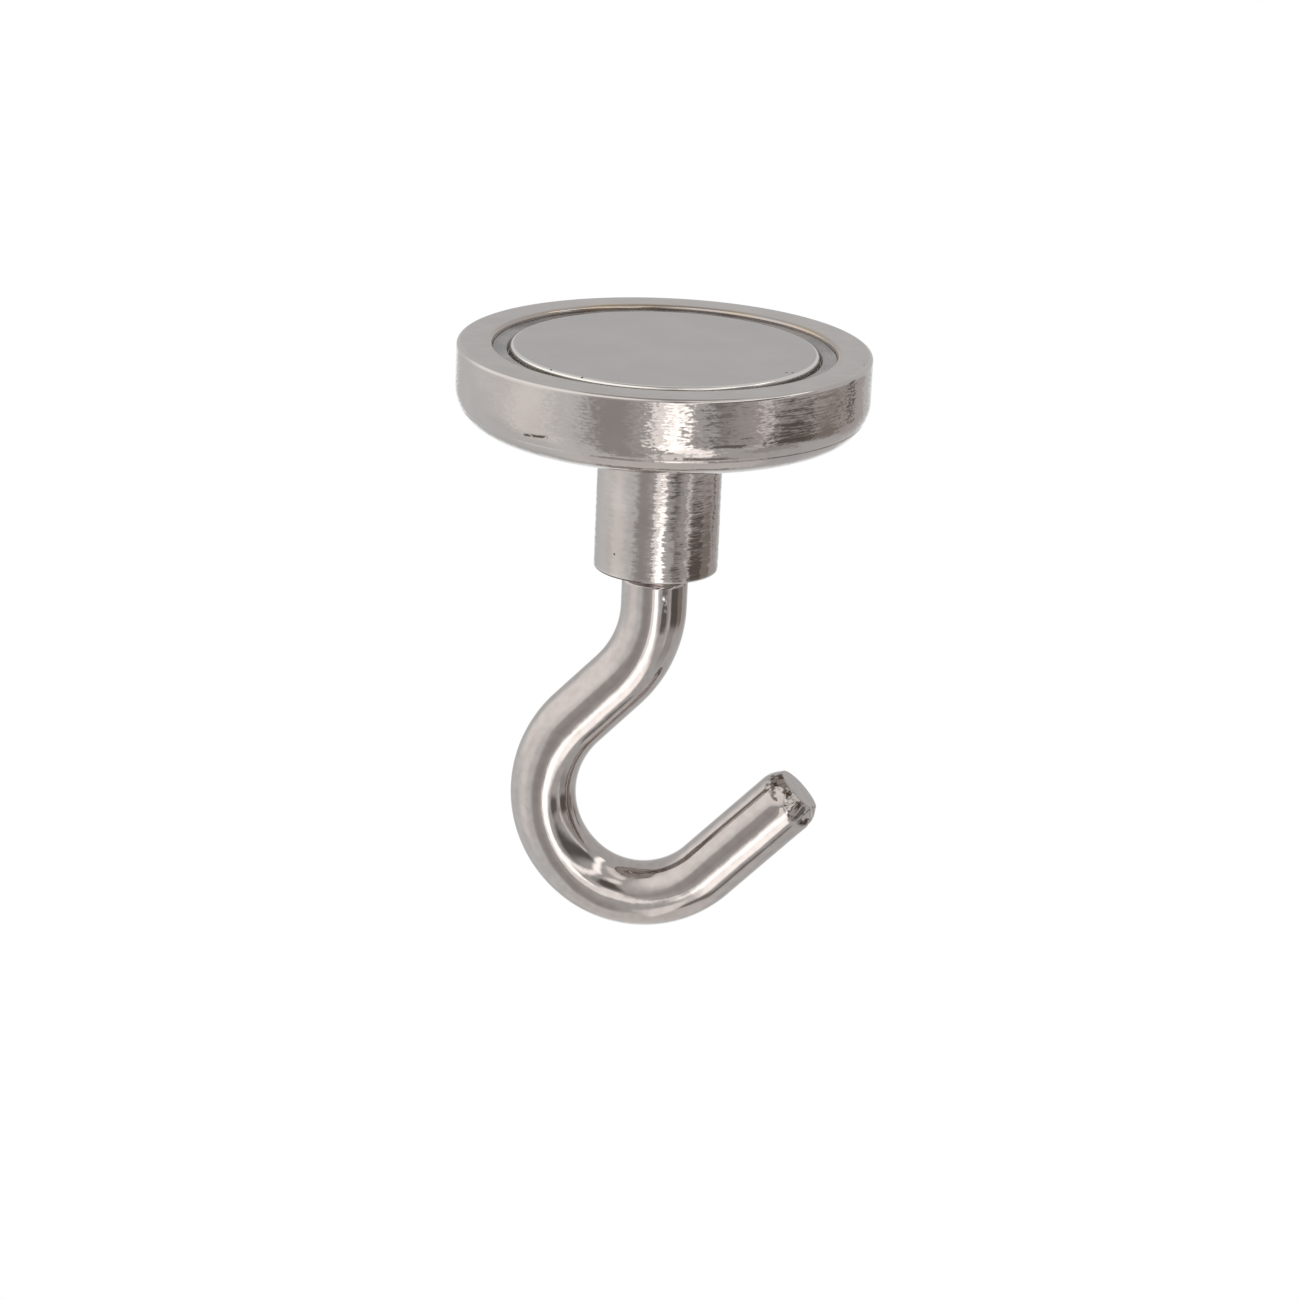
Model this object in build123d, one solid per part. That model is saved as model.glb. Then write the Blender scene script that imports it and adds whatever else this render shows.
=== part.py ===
from build123d import *
import os

# A magnetic hook. A steel pot holds a disc magnet in cast resin, a threaded bush is riveted through the
# pot's floor, and a hook bent from one length of wire screws up into the bush.
# Millimetres, +Z up. The magnet's working face looks up, as it does under a steel shelf, and the plane
# where the rim meets the steel is z = 0. The hook is bent in the XZ plane and opens towards +X.

# Pot
pot_diameter = 32.0
wall_thickness = 2.75
floor_thickness = 2.1
pot_edge_radius = 3.0
rim_chamfer = 0.3

# Magnet and the resin round it
magnet_thickness = 4.0
magnet_recess = 0.15
magnet_edge_chamfer = 0.2
groove_width = 1.35
bond_thickness = 0.15
resin_depth = 0.45

# Threaded bush
bush_diameter = 9.7
bush_length = 11.3
bush_edge_chamfer = 0.2
spigot_shoulder = 0.9
spigot_clearance = 0.02
rivet_flare = 0.6
thread_diameter = 5.0
thread_pitch = 0.8
thread_clearance = 0.05
mouth_chamfer = 0.35

# Hook, along its wire from the thread to the tip
wire_diameter = 5.2
thread_engagement = 9.5
shank_end_chamfer = 0.4
seat_gap = 0.45
runout_length = 0.4
neck_length = 2.3
neck_bend_radius = 9.1
neck_bend_angle = 43.8
slope_length = 4.6
back_bend_radius = 8.7
back_bend_angle = 94.8
throat_bend_radius = 7.4
leg_rise_angle = 45.4
leg_length = 10.15
tip_chamfer_length = 1.4
tip_chamfer_depth = 0.6

# Places that follow from the sizes
pot_radius = pot_diameter / 2
cavity_radius = pot_radius - wall_thickness
cavity_depth = magnet_recess + magnet_thickness + bond_thickness
pot_height = cavity_depth + floor_thickness
magnet_radius = cavity_radius - groove_width
bush_radius = bush_diameter / 2
spigot_radius = bush_radius - spigot_shoulder
bush_bottom = -pot_height - bush_length

# A thread is drawn as plain cylinders at its pitch diameter, with its running clearance between them
pitch_diameter_share = 0.6495
thread_pitch_radius = (thread_diameter - pitch_diameter_share * thread_pitch) / 2
bore_radius = thread_pitch_radius + thread_clearance
wire_radius = wire_diameter / 2


def corner(section, radius, height):
    """The corner of a half section that lies nearest to a radius and a height, in the sketch's own plane."""
    return section.vertices().sort_by_distance((radius, height, 0))[0]


def make_pot_shell():
    """A cup with a rounded lower edge, and a countersunk hole that takes the bush's spigot."""
    hole_radius = spigot_radius + spigot_clearance
    with BuildPart() as pot:
        with BuildSketch(Plane.XZ) as section:
            with BuildLine():
                Polyline(
                    (hole_radius, -pot_height),
                    (pot_radius, -pot_height),
                    (pot_radius, 0),
                    (cavity_radius, 0),
                    (cavity_radius, -cavity_depth),
                    (hole_radius + rivet_flare, -cavity_depth),
                    (hole_radius, -cavity_depth - rivet_flare),
                    close=True,
                )
            make_face()
            fillet(corner(section, pot_radius, -pot_height), pot_edge_radius)
            chamfer(corner(section, pot_radius, 0), rim_chamfer)
            chamfer(corner(section, cavity_radius, 0), rim_chamfer)
        revolve(axis=Axis.Z)
    return pot.part


def make_magnet_disc():
    """A plain disc with an eased upper edge, its face just below the rim so that the rim takes the knocks."""
    with BuildPart() as magnet:
        with BuildSketch(Plane.XY.offset(-magnet_recess - magnet_thickness)):
            Circle(magnet_radius)
        extrude(amount=magnet_thickness)
        chamfer(magnet.edges().sort_by(Axis.Z)[-1], magnet_edge_chamfer)
    return magnet.part


def make_potting_resin(magnet):
    """Resin cast between the pot and the magnet: a thin bond under the disc and a ring in the groove round it."""
    with BuildPart() as resin:
        with BuildSketch(Plane.XY.offset(-cavity_depth)):
            Circle(cavity_radius)
        extrude(amount=cavity_depth - resin_depth)
        add(magnet, mode=Mode.SUBTRACT)
    return resin.part


def make_threaded_bush():
    """A turned bush that seats on the pot's underside, its spigot flared into the floor's countersink."""
    flare_start = -cavity_depth - rivet_flare
    with BuildPart() as bush:
        with BuildSketch(Plane.XZ) as section:
            with BuildLine():
                Polyline(
                    (bore_radius, bush_bottom),
                    (bush_radius, bush_bottom),
                    (bush_radius, -pot_height),
                    (spigot_radius, -pot_height),
                    (spigot_radius, flare_start),
                    (spigot_radius + rivet_flare, -cavity_depth),
                    (bore_radius, -cavity_depth),
                    close=True,
                )
            make_face()
            chamfer(corner(section, bush_radius, bush_bottom), bush_edge_chamfer)
            chamfer(corner(section, bore_radius, bush_bottom), mouth_chamfer)
        revolve(axis=Axis.Z)
    return bush.part


def make_hook_path(top):
    """The wire's centre line: down, away from the opening, round the throat and up the leg."""
    throat_bend_angle = 90 + neck_bend_angle + leg_rise_angle - back_bend_angle
    with BuildLine(Plane.XZ) as path:
        neck = Line((0, top), (0, top - neck_length))
        neck_bend = JernArc(neck @ 1, neck % 1, neck_bend_radius, -neck_bend_angle)
        slope = Line(neck_bend @ 1, neck_bend @ 1 + (neck_bend % 1) * slope_length)
        back_bend = JernArc(slope @ 1, slope % 1, back_bend_radius, back_bend_angle)
        throat = JernArc(back_bend @ 1, back_bend % 1, throat_bend_radius, throat_bend_angle)
        Line(throat @ 1, throat @ 1 + (throat % 1) * leg_length)
    return path.wire()


def make_screw_hook():
    """A hook bent from one wire, with a bevelled cut end and a shank reduced for its thread."""
    runout_top = bush_bottom - seat_gap
    wire_top = runout_top - runout_length
    shank_top = bush_bottom + thread_engagement
    path = make_hook_path(wire_top)
    with BuildPart() as hook:
        with BuildSketch(Plane(origin=path @ 0, z_dir=path % 0)):
            Circle(wire_radius)
        sweep(path=path)
        tip = hook.faces().sort_by_distance(path @ 1)[0]
        chamfer(tip.edges(), tip_chamfer_depth, tip_chamfer_length, reference=tip)
        with BuildSketch(Plane.XZ) as section:
            with BuildLine():
                Polyline(
                    (0, wire_top),
                    (wire_radius, wire_top),
                    (thread_pitch_radius, runout_top),
                    (thread_pitch_radius, shank_top),
                    (0, shank_top),
                    close=True,
                )
            make_face()
            chamfer(corner(section, thread_pitch_radius, shank_top), shank_end_chamfer)
        revolve(axis=Axis.Z)
    return hook.part


def main():
    magnet = make_magnet_disc()
    parts = {
        "pot_shell": make_pot_shell(),
        "magnet_disc": magnet,
        "potting_resin": make_potting_resin(magnet),
        "threaded_bush": make_threaded_bush(),
        "screw_hook": make_screw_hook(),
    }
    os.makedirs("parts", exist_ok=True)
    for name, shape in parts.items():
        export_step(shape, f"parts/{name}.step")
        box = shape.bounding_box()
        print(f"{name}: {shape.volume:.1f} mm3, z {box.min.Z:.2f} to {box.max.Z:.2f}")


main()
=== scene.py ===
# %% [markdown]
# A magnetic hook, dressed for its portrait
# The real object is a nickel-plated steel pot that holds a disc magnet in cast resin, a turned bush under the
# pot, and a hook bent from one wire that screws up into the bush. The CAD model gives every size, so this
# script only loads it as a frame and builds the finished surfaces around it.
# Everything is in metres, with the magnet's face looking up and the plane of the rim at z = 0. The pieces'
# sizes are written in millimetres and turned into metres by MM.

# %% Load the frame and list its nodes
import math

import bmesh
import bpy
from mathutils import Matrix, Vector, noise


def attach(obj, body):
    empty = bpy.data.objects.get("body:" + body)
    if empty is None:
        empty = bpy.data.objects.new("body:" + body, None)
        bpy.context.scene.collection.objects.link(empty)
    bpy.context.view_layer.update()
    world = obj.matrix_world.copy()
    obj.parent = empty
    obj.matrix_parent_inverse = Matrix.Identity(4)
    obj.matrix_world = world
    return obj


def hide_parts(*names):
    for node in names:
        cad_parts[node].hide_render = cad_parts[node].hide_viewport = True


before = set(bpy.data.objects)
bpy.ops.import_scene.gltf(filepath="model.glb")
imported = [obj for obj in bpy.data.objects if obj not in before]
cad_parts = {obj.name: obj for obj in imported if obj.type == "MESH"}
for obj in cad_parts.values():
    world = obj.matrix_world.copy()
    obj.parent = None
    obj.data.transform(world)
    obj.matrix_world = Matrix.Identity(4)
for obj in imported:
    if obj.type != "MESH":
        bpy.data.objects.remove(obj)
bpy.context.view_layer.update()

MM = 0.001
scene = bpy.context.scene
print("CAD nodes:", sorted(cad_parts))

# %% [markdown]
# The camera looks from a little above the magnet's face and a little to the right of the hook's middle. A
# lens is often guessed and then nudged until the picture fits. Here the distance, the height and the roll
# were measured on the two ellipses of the rim, and the camera's own axes are worked out from them as vectors.

# %% Place the camera
IMAGE_SIDE = 1300
FOCAL_PIXELS = 4481.8
SENSOR_WIDTH = 36.0
TARGET = Vector((0, 0, -20 * MM))
CAMERA_DISTANCE = 350 * MM
CAMERA_AZIMUTH = math.radians(2.5)
CAMERA_HEIGHT = math.radians(17.28)
CAMERA_ROLL = math.radians(2.49)
AIM_RIGHT = -0.336 * MM
AIM_UP = -4.319 * MM
NEAREST_SEEN = 10 * MM


def place_camera():
    """A camera turned so that its own axes are the picture's right, up and back."""
    toward = Vector((
        math.sin(CAMERA_AZIMUTH) * math.cos(CAMERA_HEIGHT),
        -math.cos(CAMERA_AZIMUTH) * math.cos(CAMERA_HEIGHT),
        math.sin(CAMERA_HEIGHT),
    ))
    place = TARGET + toward * CAMERA_DISTANCE
    right = (-toward).cross(Vector((0, 0, 1))).normalized()
    up = right.cross(-toward)
    rolled_right = right * math.cos(CAMERA_ROLL) + up * math.sin(CAMERA_ROLL)
    rolled_up = up * math.cos(CAMERA_ROLL) - right * math.sin(CAMERA_ROLL)
    aim = TARGET + rolled_right * AIM_RIGHT + rolled_up * AIM_UP
    forward = (aim - place).normalized()
    right = (rolled_right - forward * rolled_right.dot(forward)).normalized()
    up = right.cross(forward)
    camera = bpy.data.objects.new("camera", bpy.data.cameras.new("camera"))
    camera.data.sensor_fit = "HORIZONTAL"
    camera.data.sensor_width = SENSOR_WIDTH
    camera.data.lens = FOCAL_PIXELS / IMAGE_SIDE * SENSOR_WIDTH
    camera.data.clip_start = NEAREST_SEEN
    turn = Matrix((right, up, -forward)).transposed()
    camera.matrix_world = Matrix.Translation(place) @ turn.to_4x4()
    scene.collection.objects.link(camera)
    return camera


scene.camera = place_camera()
print("lens:", round(scene.camera.data.lens, 2), "mm")

# %% [markdown]
# The surfaces need shader maths: streaks that follow the lathe, pits here and there, wear at the cut end.
# Nodes could be wired one by one, but a sum of five terms is then ten lines. Instead one small class wraps a
# socket, so that the sum is written as a Python expression and each sign adds its own Math node.

# %% Write shader maths as Python
class Field:
    """A value that changes over a surface: a shader socket that takes part in Python expressions."""

    def __init__(self, tree, socket):
        self.tree = tree
        self.socket = socket

    def node(self, kind, settings=None, sockets=None, output=0):
        """Adds a node of a type, sets its settings and then its sockets, and wraps one of its outputs."""
        made = self.tree.nodes.new(kind)
        for name, value in (settings or {}).items():
            setattr(made, name, value)
        for name, value in (sockets or {}).items():
            if isinstance(value, Field):
                self.tree.links.new(value.socket, made.inputs[name])
            else:
                made.inputs[name].default_value = value
        return Field(self.tree, made.outputs[output])

    def maths(self, operation, *values):
        return self.node("ShaderNodeMath", {"operation": operation}, dict(enumerate(values)))

    def __add__(self, other):
        return self.maths("ADD", self, other)

    def __sub__(self, other):
        return self.maths("SUBTRACT", self, other)

    def __rsub__(self, other):
        return self.maths("SUBTRACT", other, self)

    def __mul__(self, other):
        return self.maths("MULTIPLY", self, other)

    def __truediv__(self, other):
        return self.maths("DIVIDE", self, other)

    def __pow__(self, other):
        return self.maths("POWER", self, other)

    __radd__ = __add__
    __rmul__ = __mul__

    def larger(self, other):
        return self.maths("MAXIMUM", self, other)

    def smaller(self, other):
        return self.maths("MINIMUM", self, other)

    def between(self, low, high):
        """0 below low, 1 above high, and a smooth step from one to the other."""
        return self.node(
            "ShaderNodeMapRange", {"interpolation_type": "SMOOTHSTEP"},
            {"Value": self, "From Min": low, "From Max": high},
        )

    def vector(self, x, y, z):
        return self.node("ShaderNodeCombineXYZ", None, {0: x, 1: y, 2: z})

    def noise(self, place, scale, detail=2.0, roughness=0.5):
        return self.node(
            "ShaderNodeTexNoise", None,
            {"Vector": place, "Scale": scale, "Detail": detail, "Roughness": roughness},
        )

    def mix(self, first, second):
        """One colour where the field is 0 and another where it is 1. The two colours are inputs 6 and 7."""
        return self.node("ShaderNodeMix", {"data_type": "RGBA"}, {0: self, 6: first, 7: second}, 2)

    def parts(self):
        """The three parts of a vector field."""
        return [self.node("ShaderNodeSeparateXYZ", None, {0: self}, i) for i in range(3)]


def from_axis(x, y):
    """The distance from the Z axis."""
    return (x * x + y * y) ** 0.5


def bearing(x, y):
    """The angle round the Z axis in degrees: 0 in front, 90 at the right and -90 at the left."""
    return x.maths("ARCTAN2", x, y * -1) * math.degrees(1)


def new_finish(name):
    """A material with a Principled shader, and the surface's own place in millimetres."""
    made = bpy.data.materials.new(name)
    made.use_nodes = True
    tree = made.node_tree
    shader = tree.nodes["Principled BSDF"]
    start = Field(tree, tree.nodes.new("ShaderNodeTexCoord").outputs["Object"])
    place = start.node("ShaderNodeVectorMath", {"operation": "SCALE"}, {0: start, "Scale": 1 / MM})
    return made, shader, place


def feed(shader, socket, value):
    """Links a field to the shader, or sets a plain number or colour on it."""
    if isinstance(value, Field):
        value.tree.links.new(value.socket, shader.inputs[socket])
    else:
        shader.inputs[socket].default_value = value


def bumped(height, depth, sockets=None):
    """A Bump node for a height field. depth is in metres."""
    return height.node("ShaderNodeBump", None, {"Height": height, "Distance": depth, **(sockets or {})})


# %% [markdown]
# Polished metal has hardly any colour of its own: it shows the room. So the studio is the first half of every
# nickel finish below. The camera looks down on a white floor, which lies so far below that no shadow reaches
# it. The metal doesn't see that floor: it sees the dome of the next cell.

# %% Lay the white floor
STUDIO_CENTRE = Vector((0, 0, -24 * MM))
FLOOR_LEVEL = -3.0
FLOOR_WIDTH = 120.0
scene.view_settings.view_transform = "Standard"
world = bpy.data.worlds.new("white room")
world.use_nodes = True
world.node_tree.nodes["Background"].inputs["Color"].default_value = (1.0, 1.0, 1.0, 1)
scene.world = world


def empty_material(name):
    """A material with an output alone, and the surface's own place to start an expression from."""
    made = bpy.data.materials.new(name)
    made.use_nodes = True
    made.node_tree.nodes.clear()
    place = made.node_tree.nodes.new("ShaderNodeTexCoord").outputs["Object"]
    out = made.node_tree.nodes.new("ShaderNodeOutputMaterial")
    made.cycles.emission_sampling = "NONE"
    return made, Field(made.node_tree, place), out.inputs["Surface"]


def glow(place, surface, colour):
    light = place.node("ShaderNodeEmission", None, {"Color": colour, "Strength": 1.0})
    light.tree.links.new(light.socket, surface)


def object_from(bm, name, material):
    """Turns a bmesh into an object at the origin, smooth all over, with one material."""
    mesh = bpy.data.meshes.new(name)
    for face in bm.faces:
        face.smooth = True
    bm.to_mesh(mesh)
    bm.free()
    mesh.materials.append(material)
    made = bpy.data.objects.new(name, mesh)
    scene.collection.objects.link(made)
    return made


def place_floor():
    made, place, surface = empty_material("white floor")
    glow(place, surface, (1, 1, 1, 1))
    bm = bmesh.new()
    bmesh.ops.create_grid(bm, x_segments=1, y_segments=1, size=FLOOR_WIDTH / 2)
    bmesh.ops.translate(bm, verts=bm.verts, vec=(0, 0, FLOOR_LEVEL))
    floor = object_from(bm, "floor", made)
    floor.visible_glossy = False


place_floor()
print("floor at", FLOOR_LEVEL, "m")

# %% [markdown]
# A product studio is a grey room with a few softboxes, strip lights and dark cards, and each of them is a
# stripe on the wire. Lamps would light the metal but not draw these stripes, and a mesh for each card would
# be two dozen objects. So they're painted on the inside of one dome that only the metal sees. Each is a
# stroke of a wide soft brush, set like a real light: it goes through a few directions and covers earlier
# strokes.

# %% Paint the studio on a dome
DOME_RADIUS = 0.4
DOME_SEGMENTS = 64
WHITE = (1.0, 1.0, 0.98)
COOL = (0.96, 1.0, 1.0)
GREY = (1.0, 0.97, 0.95)
BROWN = (1.0, 0.9, 0.82)
ROOM_PAINT = (0.66, 0.67, 0.67, 1)
# Name, directions, width, softness, brightness and tint. A direction is an azimuth and a height in degrees:
# azimuth 0 is in front of the object, 90 to its right and -90 to its left.
STUDIO_STROKES = [
    ("left wall", [(-80, -45), (-80, 20)], 110, 40, 0.88, COOL),
    ("left softbox", [(-28, 48), (-100, 20)], 50, 30, 1.25, WHITE),
    ("left lamp", [(-75, -25), (-75, 0)], 30, 25, 1.1, WHITE),
    ("backdrop, left edge", [(-180, -40), (-180, -20)], 45, 12, 1.05, COOL),
    ("backdrop, right edge", [(180, -40), (180, -20)], 35, 12, 1.0, COOL),
    ("ceiling", [(-180, 90), (180, 90)], 45, 10, 0.4, GREY),
    ("table", [(-180, -90), (180, -90)], 60, 10, 0.85, WHITE),
    ("shade in front", [(-24, -50), (-24, 0)], 28, 18, 0.48, GREY),
    ("high softbox", [(75, 58), (25, 56)], 12, 10, 1.2, WHITE),
    ("arched strip light", [(105, 44), (62, 40), (38, 30)], 8, 5, 2.0, WHITE),
    ("arched strip light, side", [(38, 30), (28, 17), (13, -11)], 5, 4, 1.8, WHITE),
    ("low softbox", [(12, -26), (28, -42)], 18, 10, 1.9, WHITE),
    ("front softbox", [(6, -15), (9, -24)], 17, 6, 2.5, WHITE),
    ("front table", [(8, -52), (12, -65)], 20, 10, 1.25, WHITE),
    ("table's edge", [(60, -58), (25, -58)], 8, 5, 0.3, GREY),
    ("grey card", [(140, -15), (40, -15)], 16, 8, 0.55, GREY),
    ("black card", [(70, 27), (34, -2)], 18, 12, 0.17, GREY),
    ("black card's foot", [(46, -19), (34, -19)], 8, 4, 0.2, GREY),
    ("grey strip", [(92, 25), (75, -5)], 12, 8, 0.5, GREY),
    ("brown card", [(90, -18), (72, -18)], 14, 6, 0.16, BROWN),
    ("brown card's end", [(112, -17), (100, -17)], 12, 6, 0.32, BROWN),
    ("brown card's foot", [(85, -32), (65, -32)], 14, 10, 0.5, GREY),
    ("white strip", [(80, 25), (60, -11)], 6, 3, 0.95, WHITE),
    ("white strip's foot", [(60, -19), (58, -28)], 6, 3, 0.8, WHITE),
    ("thin post", [(127, -11), (125, 0)], 6, 4, 0.2, BROWN),
    ("card over the lens", [(15, 20), (10, 12)], 14, 6, 0.16, BROWN),
    ("shelf in front", [(0, 5), (-35, 5)], 12, 12, 0.52, GREY),
    ("front lamp", [(4, 0), (0, -18)], 8, 4, 1.4, WHITE),
    ("high lamp", [(20, 36)], 14, 8, 1.35, WHITE),
]


def brush(azimuth, height, directions, width, soft):
    """1 within half a width of a line through some directions and 0 beyond it, with a soft edge."""
    nearest = None
    for start, end in zip(directions, directions[1:] or directions):
        run = Vector(end) - Vector(start)
        ahead = run.normalized() if run.length else Vector((1, 0))
        across_line = (azimuth - start[0]) * ahead.y - (height - start[1]) * ahead.x
        along_line = (azimuth - start[0]) * ahead.x + (height - start[1]) * ahead.y
        past_end = (along_line * -1).larger(along_line - run.length).larger(0.0)
        distance = (across_line ** 2 + past_end ** 2) ** 0.5
        nearest = distance if nearest is None else nearest.smaller(distance)
    return 1 - nearest.between((width - soft) / 2, (width + soft) / 2)


def paint_dome():
    made, place, surface = empty_material("studio dome")
    x, y, z = place.parts()
    z = z - STUDIO_CENTRE.z
    azimuth = bearing(x, y)
    height = x.maths("ARCTAN2", z, from_axis(x, y)) * math.degrees(1)
    colour = ROOM_PAINT
    for _, directions, width, soft, bright, tint in STUDIO_STROKES:
        paint = tuple(bright * part for part in tint) + (1,)
        colour = brush(azimuth, height, directions, width, soft).mix(colour, paint)
    glow(place, surface, colour)
    bm = bmesh.new()
    bmesh.ops.create_uvsphere(
        bm, u_segments=DOME_SEGMENTS, v_segments=DOME_SEGMENTS // 2, radius=DOME_RADIUS
    )
    bmesh.ops.translate(bm, verts=bm.verts, vec=STUDIO_CENTRE)
    dome = object_from(bm, "dome", made)
    dome.visible_camera = False
    dome.visible_shadow = False


paint_dome()
print("lights and cards:", len(STUDIO_STROKES))

# %% [markdown]
# Nickel plating is a warm, slightly pink grey. On the pot and the bush it lies over the lathe's turning
# marks: hair-fine rings, each a little tilted, so that the edge of every reflection is frayed into short
# level dashes. An image of brushed metal could be wrapped round, but it would repeat and stretch. Noise that
# is read in turned coordinates, long along the ring and thin across it, fits any radius without a seam. A few
# pits and one scratch on each piece are placed one by one.

# %% Mark the turned metal
def turned_place(place, along, across):
    """Coordinates that run round the axis slowly and across the turning marks quickly."""
    x, y, z = place.parts()
    radius = from_axis(x, y)
    return x.vector(x / radius * along, y / radius * along, (z - radius) * across)


def pits_at(place, centres, radius):
    """1 inside a few small pits whose places are known, and 0 elsewhere."""
    total = None
    for centre in centres:
        off = place.node("ShaderNodeVectorMath", {"operation": "DISTANCE"}, {0: place, 1: centre}, 1)
        pit = 1 - off.between(radius * 0.5, radius)
        total = pit if total is None else total.larger(pit)
    return total


def leaned(place, along, up):
    """The surface's normal, leaned round the axis by one field and up or down by another."""
    x, y, _ = place.parts()
    radius = from_axis(x, y)
    lean = place.vector(y / radius * along * -1, x / radius * along, up)
    normal = place.node("ShaderNodeNewGeometry", None, None, "Normal")
    return place.node("ShaderNodeVectorMath", {"operation": "ADD"}, {0: normal, 1: lean})


def inside(distance, size, soft):
    """1 within a half size of the middle and 0 beyond it, with a soft edge."""
    return 1 - distance.maths("ABSOLUTE", distance).between((size - soft) / 2, (size + soft) / 2)


def scratch_at(place, start, end, width, gaps):
    """1 inside a scratch on a turned wall and 0 elsewhere. Its two ends are a bearing and a height. gaps is
    how broken it is: 0 is a whole line."""
    x, y, z = place.parts()
    share = (bearing(x, y) - start[0]) / (end[0] - start[0])
    offset = z - (share * (end[1] - start[1]) + start[1])
    ends = share.between(0.0, 0.1) * (1 - share.between(0.9, 1.0))
    unbroken = place.noise(place, scale=2.5, detail=1.0).between(gaps - 0.1, gaps)
    return inside(offset, width, width) * ends * unbroken


# %% [markdown]
# The finish is layered like the real surface. At the bottom is nickel, a little mottled. A brown film of
# resin crept over the pot's inner rim, the outer corner is worn bright and painted lighter as a highlight,
# and pits and scratches are dark.
# Each layer is a mask that mixes one colour over the last. The marks lean the surface's normal instead of
# going through a Bump node, which loses marks that are finer than a pixel.

# %% Finish the turned nickel
NICKEL = (0.52, 0.472, 0.455, 1)
NICKEL_SHADE = (0.48, 0.432, 0.415, 1)
PIT_COLOUR = (0.07, 0.05, 0.04, 1)
RESIN_FILM = (0.50, 0.40, 0.30, 1)
# Bare nickel for worn corners and the magnet's eased edge, where it also serves as a painted highlight.
NICKEL_BARE_AND_HIGHLIGHT = (0.80, 0.76, 0.73, 1)
TURNED_GLOSS = 0.08
TURNING_LEAN = 0.07
FLATS_SHARE = 0.15
PIT_RADIUS = 0.11
PEEL_DEPTH = 0.03 * MM
FILM_WIDTH = 0.5
RUB_AND_HIGHLIGHT_STRENGTH = 0.25
RUB_AND_HIGHLIGHT_FROM = 0.25
RUB_AND_HIGHLIGHT_TO = 0.4


def turned_nickel(name, ring, tick, marks, edge, wall, film_radius=0.0):
    """ring and tick are how fast each noise runs along and across the turning marks, which fade beyond the
    wall's two heights. marks are a scratch and some pits. edge is the radius and height of the corner that is
    worn bright and painted lighter as a highlight. film_radius is where resin crept over the metal, or 0
    where there is none."""
    made, shader, place = new_finish(name)
    rings = place.noise(turned_place(place, *ring), scale=1.0)
    ticks = place.noise(turned_place(place, *tick), scale=1.0, roughness=0.6)
    peel = place.noise(place, scale=1.1)
    shade = place.noise(place, scale=0.3, detail=3.0).between(0.35, 0.65)
    x, y, z = place.parts()
    low, high = wall
    on_wall = z.between(low, low + 0.6) * (1 - z.between(high, high + 0.3))
    marked = on_wall * (1 - FLATS_SHARE) + FLATS_SHARE
    scratch, pits = marks
    dark = scratch_at(place, *scratch).larger(pits_at(place, pits, PIT_RADIUS))
    radius = from_axis(x, y)
    film = inside(radius - film_radius, FILM_WIDTH, 0.1) * (1 - marked) * shade
    # Round the corner the nickel is worn bright, and this lighter colour is also a painted highlight.
    rub_and_highlight = 1 - (((radius - edge[0]) ** 2 + (z - edge[1]) ** 2) ** 0.5).between(RUB_AND_HIGHLIGHT_FROM, RUB_AND_HIGHLIGHT_TO)
    colour = film.mix(shade.mix(NICKEL_SHADE, NICKEL), RESIN_FILM)
    colour = (rub_and_highlight * RUB_AND_HIGHLIGHT_STRENGTH).mix(colour, NICKEL_BARE_AND_HIGHLIGHT)
    along = (ticks.between(0.38, 0.62) - 0.5) * marked * TURNING_LEAN
    up = ((rings.between(0.35, 0.65) - 0.5) * 0.7 + (ticks - 0.5)) * marked * TURNING_LEAN
    normal = leaned(place, along, up)
    feed(shader, "Base Color", dark.mix(colour, PIT_COLOUR))
    feed(shader, "Metallic", 1.0)
    feed(shader, "Roughness", (ticks + rings - 1) * 0.06 + TURNED_GLOSS + dark * 0.3)
    feed(shader, "Normal", bumped(peel * 0.6 - dark * 0.5, PEEL_DEPTH, {"Normal": normal}))
    return made


# A scratch's two ends, its width and its gaps, and then the places of the pits.
POT_MARKS = ((-38, -4.2), (-29, -3.95), 0.2, 0.45), [(15.3, -2.6, 0), (9.4, 8.6, 0)]
BUSH_MARKS = ((-80, -17.62), (-5, -17.62), 0.14, 0), [(-3.05, -3.77, -15.75)]
POT_NICKEL = turned_nickel(
    "pot nickel", ring=(7, 9), tick=(34, 7), marks=POT_MARKS,
    edge=(16, 0), wall=(-6.4, -0.5), film_radius=13.4,
)
BUSH_NICKEL = turned_nickel(
    "bush nickel", ring=(3, 9), tick=(5, 4.2), marks=BUSH_MARKS,
    edge=(4.85, -17.7), wall=(-18.0, -6.8),
)
print("turned finishes:", POT_NICKEL.name, "and", BUSH_NICKEL.name)

# %% [markdown]
# The pot, the bush and the resin are bodies of revolution. Each half section could be drawn with all its
# roundings and spun in one go. It is easier to read the other way: spin the sharp section first, then bevel
# the rings that the real tool eased, each by its own radius.

# %% Set up the lathe
ROUNDING_SEGMENTS = 4
WELD_DISTANCE = 0.0005
RING_TOLERANCE = 0.01


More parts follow.
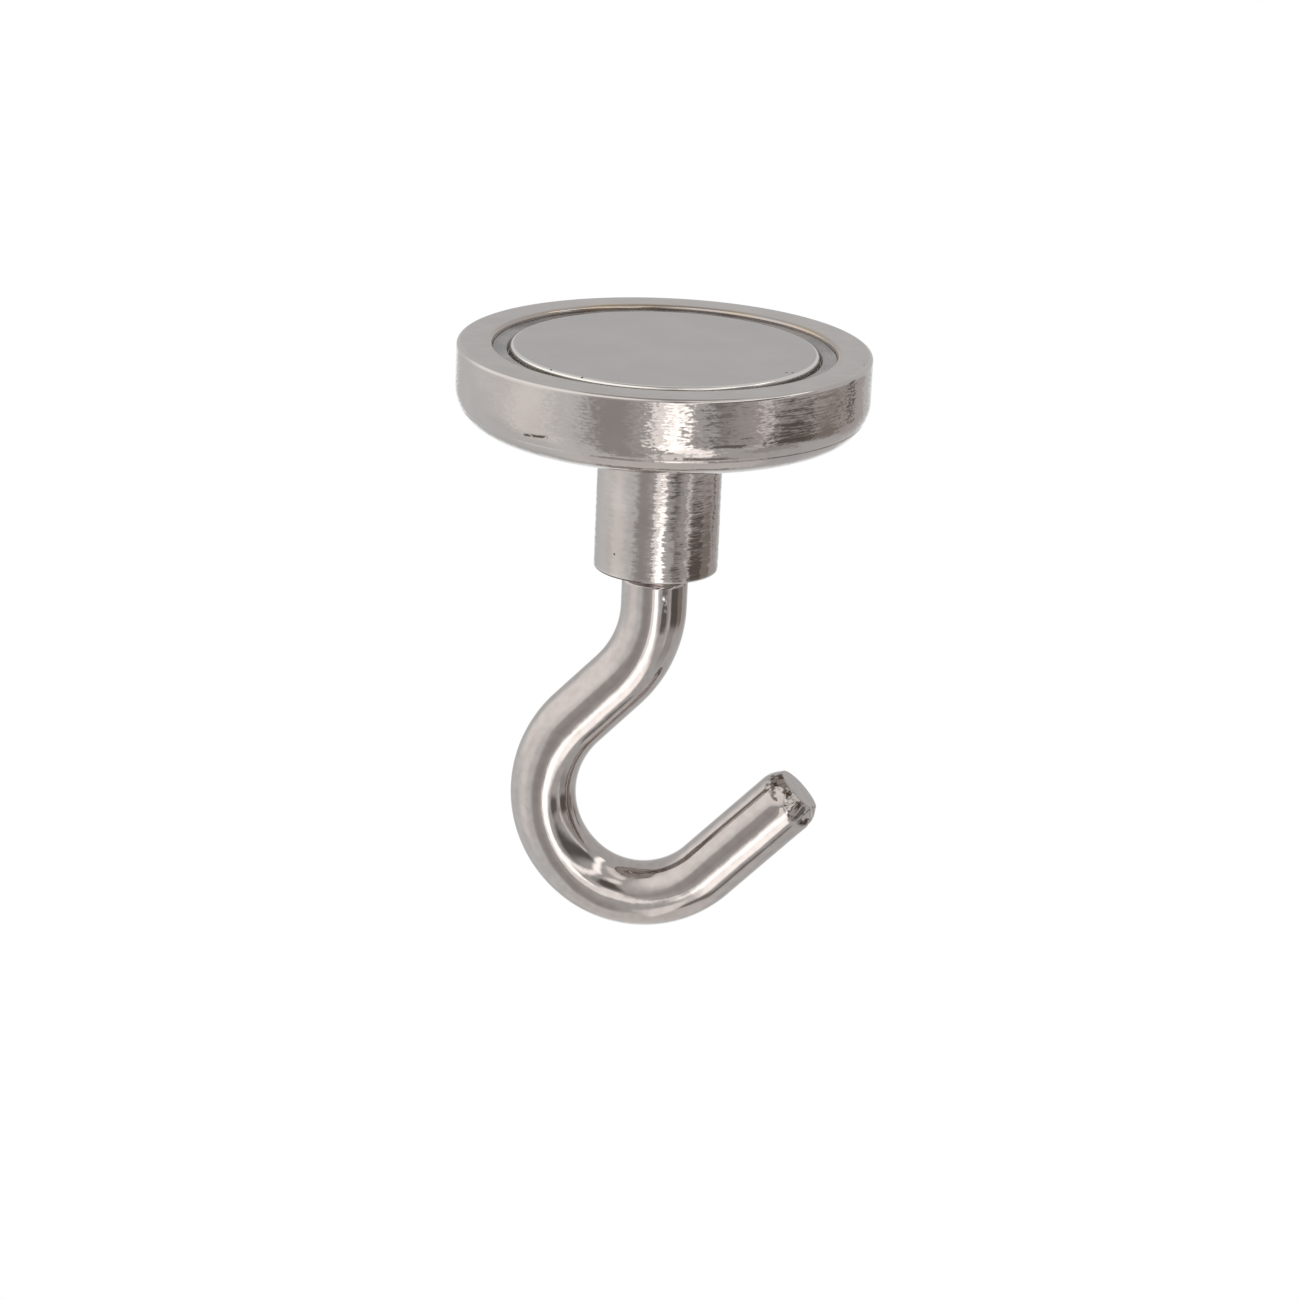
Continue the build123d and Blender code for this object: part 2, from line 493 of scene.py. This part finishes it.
def spin_section(corners, steps, closed=True):
    """Spins a half section, given as radius and height in millimetres, into a body of revolution."""
    bm = bmesh.new()
    verts = [bm.verts.new((r * MM, 0, z * MM)) for r, z in corners]
    pairs = list(zip(verts, verts[1:] + verts[:1])) if closed else list(zip(verts, verts[1:]))
    edges = [bm.edges.new(pair) for pair in pairs]
    bmesh.ops.spin(
        bm, geom=verts + edges, cent=(0, 0, 0), axis=(0, 0, 1), angle=2 * math.pi, steps=steps,
        use_merge=True, use_duplicate=False,
    )
    bmesh.ops.remove_doubles(bm, verts=bm.verts, dist=WELD_DISTANCE * MM)
    bmesh.ops.recalc_face_normals(bm, faces=bm.faces)
    return bm


def ring_edges(bm, radius, height):
    """The edges of the circle at one corner of the section."""
    def on_ring(vert):
        off = max(abs(vert.co.xy.length - radius * MM), abs(vert.co.z - height * MM))
        return off < RING_TOLERANCE * MM
    return [e for e in bm.edges if on_ring(e.verts[0]) and on_ring(e.verts[1])]


def ease(bm, radius, height, width, segments=ROUNDING_SEGMENTS):
    """Rounds one ring of a turned body."""
    bmesh.ops.bevel(
        bm, geom=ring_edges(bm, radius, height), offset=width * MM, offset_type="OFFSET", segments=segments,
        profile=0.5, affect="EDGES", material=-1, clamp_overlap=True,
    )


def keep_flats_flat(piece):
    """Large faces lead the shading, so that a small rounding beside one doesn't darken it."""
    modifier = piece.modifiers.new("flat faces stay flat", "WEIGHTED_NORMAL")
    modifier.keep_sharp = True


# %% [markdown]
# The pot is drawn from sheet steel and faced on the lathe, so its half section has only seven corners. The
# tool stopped part of the way down the wall and left a fine line there. A painted line would look flat, so
# three planes cut the wall and the ring between them is pushed in.

# %% Turn the pot
POT_RADIUS = 16.0
POT_HEIGHT = 6.4
CAVITY_RADIUS = 13.25
CAVITY_DEPTH = 4.3
HOLE_RADIUS = 3.97
RIVET_FLARE = 0.6
POT_EDGE_RADIUS = 3.0
RIM_ROUNDING = 0.3
TOOL_LINE_HEIGHT = -4.82
TOOL_LINE_WIDTH = 0.14
TOOL_LINE_DEPTH = 0.07
POT_STEPS = 256
POT_EDGE_SEGMENTS = 14


def score_line(bm, height, width, depth):
    """Cuts a fine line round the outside, where the turning tool stopped."""
    for level in (height + width / 2, height, height - width / 2):
        bmesh.ops.bisect_plane(
            bm, geom=bm.verts[:] + bm.edges[:] + bm.faces[:], plane_co=(0, 0, level * MM), plane_no=(0, 0, 1)
        )
    for vert in bm.verts:
        radius = vert.co.xy.length
        if abs(vert.co.z - height * MM) < width / 4 * MM and radius > CAVITY_RADIUS * MM:
            vert.co.xy *= 1 - depth * MM / radius


def turn_pot():
    bm = spin_section([
        (HOLE_RADIUS, -POT_HEIGHT),
        (POT_RADIUS, -POT_HEIGHT),
        (POT_RADIUS, 0),
        (CAVITY_RADIUS, 0),
        (CAVITY_RADIUS, -CAVITY_DEPTH),
        (HOLE_RADIUS + RIVET_FLARE, -CAVITY_DEPTH),
        (HOLE_RADIUS, -CAVITY_DEPTH - RIVET_FLARE),
    ], POT_STEPS)
    ease(bm, POT_RADIUS, -POT_HEIGHT, POT_EDGE_RADIUS, POT_EDGE_SEGMENTS)
    ease(bm, POT_RADIUS, 0, RIM_ROUNDING)
    ease(bm, CAVITY_RADIUS, 0, RIM_ROUNDING)
    score_line(bm, TOOL_LINE_HEIGHT, TOOL_LINE_WIDTH, TOOL_LINE_DEPTH)
    return object_from(bm, "turned_pot", POT_NICKEL)


pot = turn_pot()
keep_flats_flat(pot)
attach(pot, "pot")
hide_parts("pot_shell")
print("pot faces:", len(pot.data.polygons))

# %% [markdown]
# The bush is turned from bar and riveted through the pot's floor. It is a body of revolution too, so it is
# spun and eased in the same way. Its mouth is countersunk to lead the hook's thread in.

# %% Turn the bush
BUSH_RADIUS = 4.85
BUSH_BOTTOM = -17.7
SPIGOT_RADIUS = 3.95
BORE_RADIUS = 2.29
MOUTH_EASE = 0.35
BUSH_ROUNDING = 0.2
BUSH_STEPS = 160


def turn_bush():
    bm = spin_section([
        (BORE_RADIUS, BUSH_BOTTOM),
        (BUSH_RADIUS, BUSH_BOTTOM),
        (BUSH_RADIUS, -POT_HEIGHT),
        (SPIGOT_RADIUS, -POT_HEIGHT),
        (SPIGOT_RADIUS, -CAVITY_DEPTH - RIVET_FLARE),
        (SPIGOT_RADIUS + RIVET_FLARE, -CAVITY_DEPTH),
        (BORE_RADIUS, -CAVITY_DEPTH),
    ], BUSH_STEPS)
    ease(bm, BUSH_RADIUS, BUSH_BOTTOM, BUSH_ROUNDING)
    ease(bm, BORE_RADIUS, BUSH_BOTTOM, MOUTH_EASE, segments=1)
    return object_from(bm, "turned_bush", BUSH_NICKEL)


bush = turn_bush()
keep_flats_flat(bush)
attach(bush, "pot")
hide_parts("threaded_bush")
print("bush faces:", len(bush.data.polygons))

# %% [markdown]
# The magnet is a sintered disc, tumbled and nickel plated, so its face is satin and grainy with a bright
# eased edge. A cylinder would do for the body; the finish carries the rest: a fine grain, a few pits where
# the plating bridged a pore, a painted highlight on the eased edge, and hardly any direction.

# %% Press and plate the magnet
MAGNET_RADIUS = 11.9
MAGNET_TOP = -0.15
MAGNET_BOTTOM = -4.15
MAGNET_EASE = 0.26
DISC_STEPS = 192
MAGNET_SHADE = (0.51, 0.475, 0.465, 1)
MAGNET_LIGHT = (0.54, 0.505, 0.495, 1)
MAGNET_PITS = [(-8.1, -8.5, -0.15), (-5.64, -10.3, -0.15), (9.5, -5.6, -0.15), (9.95, -5.5, -0.15)]
MAGNET_PIT_RADIUS = 0.13
GRAIN_DEPTH = 0.004 * MM


def satin_nickel():
    made, shader, place = new_finish("magnet nickel")
    grain = place.noise(place, scale=7.0, detail=3.0, roughness=0.65)
    clouds = place.noise(place, scale=0.2)
    pits = pits_at(place, MAGNET_PITS, MAGNET_PIT_RADIUS)
    colour = clouds.between(0.3, 0.7).mix(MAGNET_SHADE, MAGNET_LIGHT)
    x, y, _ = place.parts()
    # The eased edge is painted bare nickel: its real polish plus a painted highlight.
    face_radius = MAGNET_RADIUS - MAGNET_EASE
    edge = from_axis(x, y).between(face_radius - 0.04, face_radius + 0.04)
    feed(shader, "Base Color", pits.mix(edge.mix(colour, NICKEL_BARE_AND_HIGHLIGHT), PIT_COLOUR))
    feed(shader, "Metallic", 1.0)
    feed(shader, "Roughness", grain * 0.12 + 0.24 - edge * 0.22 + pits * 0.3)
    feed(shader, "Normal", bumped(grain - pits, GRAIN_DEPTH))
    return made


def press_magnet():
    bm = bmesh.new()
    bmesh.ops.create_cone(
        bm, cap_ends=True, segments=DISC_STEPS, radius1=MAGNET_RADIUS * MM, radius2=MAGNET_RADIUS * MM,
        depth=(MAGNET_TOP - MAGNET_BOTTOM) * MM,
    )
    bmesh.ops.translate(bm, verts=bm.verts, vec=(0, 0, (MAGNET_TOP + MAGNET_BOTTOM) / 2 * MM))
    ease(bm, MAGNET_RADIUS, MAGNET_TOP, MAGNET_EASE)
    return object_from(bm, "magnet_disc_plated", satin_nickel())


magnet = press_magnet()
keep_flats_flat(magnet)
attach(magnet, "pot")
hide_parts("magnet_disc")
print("magnet faces:", len(magnet.data.polygons))

# %% [markdown]
# The groove round the magnet is filled with potting resin. It wets both walls, so its surface climbs a little
# at each side and sags between them. A flat ring would reflect nothing of that: the section gets a hanging
# curve instead, and a slow noise lifts and lowers it round the ring as a hand-held nozzle would.

# %% Cast the resin
RESIN_SURFACE = [
    (13.25, -0.41), (13.17, -0.45), (13.0, -0.48), (12.7, -0.50), (12.4, -0.51), (12.19, -0.52),
    (12.12, -0.56), (12.08, -0.95), (11.98, -1.0), (11.90, -0.97),
]
RESIN_WAVE = 0.05
WAVES_PER_METRE = 400
LOWEST_WAVE = -1.2
RESIN_DARK = (0.17, 0.16, 0.16, 1)
RESIN_LIGHT = (0.28, 0.26, 0.255, 1)
DUST_DEPTH = 0.003 * MM


def cured_resin():
    made, shader, place = new_finish("resin")
    dust = place.noise(place, scale=3.0, detail=4.0, roughness=0.6)
    clouds = place.noise(place, scale=0.4)
    feed(shader, "Base Color", clouds.between(0.3, 0.7).mix(RESIN_DARK, RESIN_LIGHT))
    feed(shader, "Roughness", dust * 0.15 + 0.1)
    feed(shader, "Normal", bumped(dust, DUST_DEPTH))
    return made


def cast_resin():
    bm = spin_section(
        [(0, -CAVITY_DEPTH), (CAVITY_RADIUS, -CAVITY_DEPTH)]
        + RESIN_SURFACE
        + [(MAGNET_RADIUS, MAGNET_BOTTOM), (0, MAGNET_BOTTOM)],
        DISC_STEPS, closed=False,
    )
    for vert in bm.verts:
        if vert.co.z > LOWEST_WAVE * MM:
            vert.co.z += RESIN_WAVE * MM * noise.noise(vert.co * WAVES_PER_METRE)
    bmesh.ops.recalc_face_normals(bm, faces=bm.faces)
    return object_from(bm, "resin_cast", cured_resin())


resin = cast_resin()
keep_flats_flat(resin)
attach(resin, "pot")
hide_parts("potting_resin")
print("resin faces:", len(resin.data.polygons))

# %% [markdown]
# The hook is the skilled piece: one wire, bent cold round three pins. A curve with a round bevel would give
# its shape, but the bends here are made as the bender makes them. A ring of vertices is the wire's end; a
# straight run pushes it forward, and a bend turns it about the pin's centre. Each step also writes down how
# far along the wire it is and where round it a point lies, so that the drawing marks can follow the wire.

# %% Set up the bender
WIRE_RADIUS = 2.6
STEP_LENGTH = 0.3
END_STEPS = 20


class Bender:
    """Pushes and bends the end ring of a wire, in the XZ plane."""

    def __init__(self, bm, ring, place, heading):
        self.bm = bm
        self.ring = ring
        self.place = place
        self.heading = heading
        self.layer = bm.verts.layers.float_vector["wire_place"]
        self.length = 0.0

    def step(self, transform, length):
        """Extrudes the ring by one step and moves it."""
        made = bmesh.ops.extrude_edge_only(self.bm, edges=self.ring)["geom"]
        verts = [g for g in made if isinstance(g, bmesh.types.BMVert)]
        self.ring = [g for g in made if isinstance(g, bmesh.types.BMEdge)]
        bmesh.ops.transform(self.bm, matrix=transform, verts=verts)
        self.length += length
        for vert in verts:
            around = vert[self.layer]
            vert[self.layer] = Vector((around.x, around.y, self.length))
        self.place = transform @ self.place

    def push(self, length):
        count = max(1, round(length / STEP_LENGTH))
        for _ in range(count):
            self.step(Matrix.Translation(self.heading * length / count * MM), length / count)

    def bend(self, radius, degrees, side):
        """Turns the ring about a pin. side is +1 for a pin on the wire's left, seen from the front."""
        left = Vector((-self.heading.z, 0, self.heading.x))
        pin = self.place + left * side * radius * MM
        length = radius * math.radians(degrees)
        count = round(length / STEP_LENGTH)
        turn = Matrix.Rotation(-side * math.radians(degrees) / count, 4, "Y")
        move = Matrix.Translation(pin) @ turn @ Matrix.Translation(-pin)
        for _ in range(count):
            self.step(move, length / count)
        self.heading = (Matrix.Rotation(-side * math.radians(degrees), 3, "Y") @ self.heading).normalized()

    def round_off(self, length, drop):
        """Draws the end in to a smaller ring, slowly at first and then faster."""
        radius = WIRE_RADIUS
        for i in range(END_STEPS):
            smaller = WIRE_RADIUS - drop * ((i + 1) / END_STEPS) ** 2
            shrink = Matrix.Scale(smaller / radius, 4)
            here = Matrix.Translation(self.place)
            forward = Matrix.Translation(self.heading * length / END_STEPS * MM)
            self.step(forward @ here @ shrink @ here.inverted(), length / END_STEPS)
            radius = smaller


# %% [markdown]
# The hook's shank is cut with an M5 thread. A helix could be cut out of the wire with a boolean, but it
# hides in the bush, so a simple ridge is wound round a thinner core: three corners that spin and climb. From
# there the wire runs out to its full thickness and goes through the bender.

# %% Bend the hook
WIRE_TOP = -18.55
RUNOUT_TOP = -18.15
SHANK_TOP = -8.2
SHANK_EASE = 0.3
THREAD_CREST = 2.24
THREAD_ROOT = 1.95
THREAD_PITCH = 0.8
THREAD_OVERLAP = 0.1
THREAD_TURNS = 11
THREAD_SIDES = 40
WIRE_SIDES = 96
NECK_LENGTH = 2.3
# Each bend's radius, its degrees and the side of its pin, and the length of the straight run after it.
BENDS = [(9.1, 43.8, -1), (8.7, 94.8, 1), (7.4, 84.4, 1)]
RUNS_AFTER = [4.6, 0.0, 8.55]
END_LENGTH = 1.6
END_DROP = 0.62


def wind_thread(bm):
    """A ridge of three corners that spins about the axis and climbs by one pitch in each turn."""
    low = RUNOUT_TOP + THREAD_OVERLAP
    base = THREAD_ROOT - THREAD_OVERLAP
    corners = [(base, low), (THREAD_CREST, low + THREAD_PITCH / 2), (base, low + THREAD_PITCH)]
    verts = [bm.verts.new((r * MM, 0, z * MM)) for r, z in corners]
    start = bmesh.ops.contextual_create(bm, geom=verts)["faces"]
    end = bmesh.ops.spin(
        bm, geom=list(start[0].edges), cent=(0, 0, 0), axis=(0, 0, 1), angle=2 * math.pi * THREAD_TURNS,
        dvec=(0, 0, THREAD_PITCH * MM / THREAD_SIDES), steps=THREAD_TURNS * THREAD_SIDES,
        use_merge=False, use_duplicate=False,
    )["geom_last"]
    bmesh.ops.contextual_create(bm, geom=[g for g in end if isinstance(g, bmesh.types.BMEdge)])


def start_wire(bm, layer):
    """The shank's top, its body and the cone that runs out to the full wire."""
    end = bmesh.ops.create_circle(
        bm, segments=WIRE_SIDES, radius=(THREAD_ROOT - SHANK_EASE) * MM, cap_ends=True
    )
    bmesh.ops.translate(bm, verts=end["verts"], vec=(0, 0, SHANK_TOP * MM))
    for vert in end["verts"]:
        vert[layer] = Vector((vert.co.x, vert.co.y, 0)).normalized()
    ring = list({edge for vert in end["verts"] for edge in vert.link_edges})
    shank = [(THREAD_ROOT, SHANK_TOP - SHANK_EASE), (THREAD_ROOT, RUNOUT_TOP), (WIRE_RADIUS, WIRE_TOP)]
    for radius, height in shank:
        made = bmesh.ops.extrude_edge_only(bm, edges=ring)["geom"]
        ring = [g for g in made if isinstance(g, bmesh.types.BMEdge)]
        for vert in [g for g in made if isinstance(g, bmesh.types.BMVert)]:
            vert.co = vert[layer].xy.to_3d() * radius * MM + Vector((0, 0, height * MM))
    return ring


def bend_hook():
    bm = bmesh.new()
    layer = bm.verts.layers.float_vector.new("wire_place")
    wind_thread(bm)
    bender = Bender(bm, start_wire(bm, layer), Vector((0, 0, WIRE_TOP * MM)), Vector((0, 0, -1)))
    bender.push(NECK_LENGTH)
    for (radius, degrees, side), run in zip(BENDS, RUNS_AFTER):
        bender.bend(radius, degrees, side)
        if run:
            bender.push(run)
    bender.round_off(END_LENGTH, END_DROP)
    bmesh.ops.contextual_create(bm, geom=bender.ring)
    bmesh.ops.recalc_face_normals(bm, faces=bm.faces)
    print("wire length:", round(bender.length, 2), "mm, ends at", [round(v / MM, 2) for v in bender.place])
    return bm, bender


# %% [markdown]
# The wire was cropped, so its end is crushed on the side of the blade: small facets and folds in the plating.
# Sculpting them by hand is slow and a bump map leaves the outline smooth. So the vertices themselves are
# pushed in by a cell noise, which has the sharp creases of folded metal, and only near the end and in front.
# The plating also ran down the neck and set in three small drops, which are raised in the mesh as well.

# %% Crush the cropped end and let the plating run
CRUSH_DEPTH = 0.42
CRUSH_SCALE = 0.8
CRUSH_SIDE = Vector((0.35, -1.0, -0.1)).normalized()
CRUSH_LEAD = 0.1
CRUSH_FADE = 0.4
CRUSH_WRAP = 1.6
# Each drop's place, radius and height.
RUNS_OF_PLATING = [
    ((0.95, -2.42, -19.5), 0.22, 0.05),
    ((0.98, -2.41, -20.0), 0.16, 0.03),
    ((1.0, -2.4, -20.5), 0.14, 0.02),
]
DROP_REACH = 1.8
DROP_CUTS = 3


def crush_end(bm, bender):
    layer = bender.layer
    start = bender.length - END_LENGTH
    axis_point = bender.place.copy()
    for vert in bm.verts:
        along = vert[layer].z
        if along < start - CRUSH_LEAD:
            continue
        outward = vert.co - axis_point
        outward -= bender.heading * outward.dot(bender.heading)
        facing = max(0.0, outward.normalized().dot(CRUSH_SIDE)) if outward.length > 0 else 0.0
        share = min(1.0, (along - start + CRUSH_LEAD) / CRUSH_FADE) * min(1.0, facing * CRUSH_WRAP)
        near, _ = noise.voronoi(vert.co / MM * CRUSH_SCALE)
        vert.co -= outward.normalized() * CRUSH_DEPTH * MM * share * (near[1] - near[0])


def raise_drop(bm, centre, radius, height):
    """Refines the mesh round a point and lifts it there in a smooth drop."""
    point = Vector(centre) * MM
    reach = radius * DROP_REACH * MM
    close = [e for e in bm.edges if all((v.co - point).length < reach for v in e.verts)]
    bmesh.ops.subdivide_edges(bm, edges=close, cuts=DROP_CUTS, use_grid_fill=True)
    bm.normal_update()
    for vert in bm.verts:
        share = 1 - ((vert.co - point).length / (radius * MM)) ** 2
        if share > 0:
            vert.co += vert.normal * height * MM * share * share


hook_mesh, bender = bend_hook()
crush_end(hook_mesh, bender)
for drop in RUNS_OF_PLATING:
    raise_drop(hook_mesh, *drop)
print("hook corners:", len(hook_mesh.verts))

# %% [markdown]
# Wire keeps fine lines from the die that it was drawn through, and they run along it. Object coordinates
# would cut straight across the bends, so the finish reads what each bending step wrote down: where round the
# wire a point lies, and how far along. The crushed part is duller and has dark brown blotches, and the cut
# face is satin.

# %% Finish the drawn wire
BLOTCH_COLOUR = (0.12, 0.09, 0.075, 1)
DRAWN_DEPTH = 0.005 * MM
LINES_ROUND = 14
LINES_ALONG = 0.2


def drawn_nickel(end_of_wire):
    made, shader, place = new_finish("hook nickel")
    wire = place.node("ShaderNodeAttribute", {"attribute_name": "wire_place"}, None, 1)
    around_x, around_y, along = wire.parts()
    drawn = place.vector(around_x * LINES_ROUND, around_y * LINES_ROUND, along * LINES_ALONG)
    lines = place.noise(drawn, scale=1.0, detail=3.0, roughness=0.6)
    peel = place.noise(place, scale=1.3, detail=1.0)
    sway = place.noise(place, scale=0.3, detail=1.0)
    end_face = along.between(end_of_wire - 0.06, end_of_wire - 0.02)
    start = end_of_wire - END_LENGTH
    crushed = along.between(start - 0.1, start + 0.5) * (1 - end_face)
    # Dark brown blotches scattered by noise over the crushed part.
    dark_blotches = place.noise(place, scale=1.1, roughness=0.6).between(0.5, 0.62) * crushed
    colour = peel.between(0.35, 0.65).mix(NICKEL_SHADE, NICKEL)
    feed(shader, "Base Color", dark_blotches.mix(colour, BLOTCH_COLOUR))
    feed(shader, "Metallic", 1.0)
    feed(shader, "Roughness", lines * 0.06 + 0.02 + crushed * 0.12 + end_face * 0.28)
    feed(shader, "Normal", bumped(lines * 0.6 + peel + sway * 8, DRAWN_DEPTH))
    return made


hook = object_from(hook_mesh, "bent_hook", drawn_nickel(bender.length))
keep_flats_flat(hook)
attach(hook, "hook")
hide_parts("screw_hook")
print("hook faces:", len(hook.data.polygons))
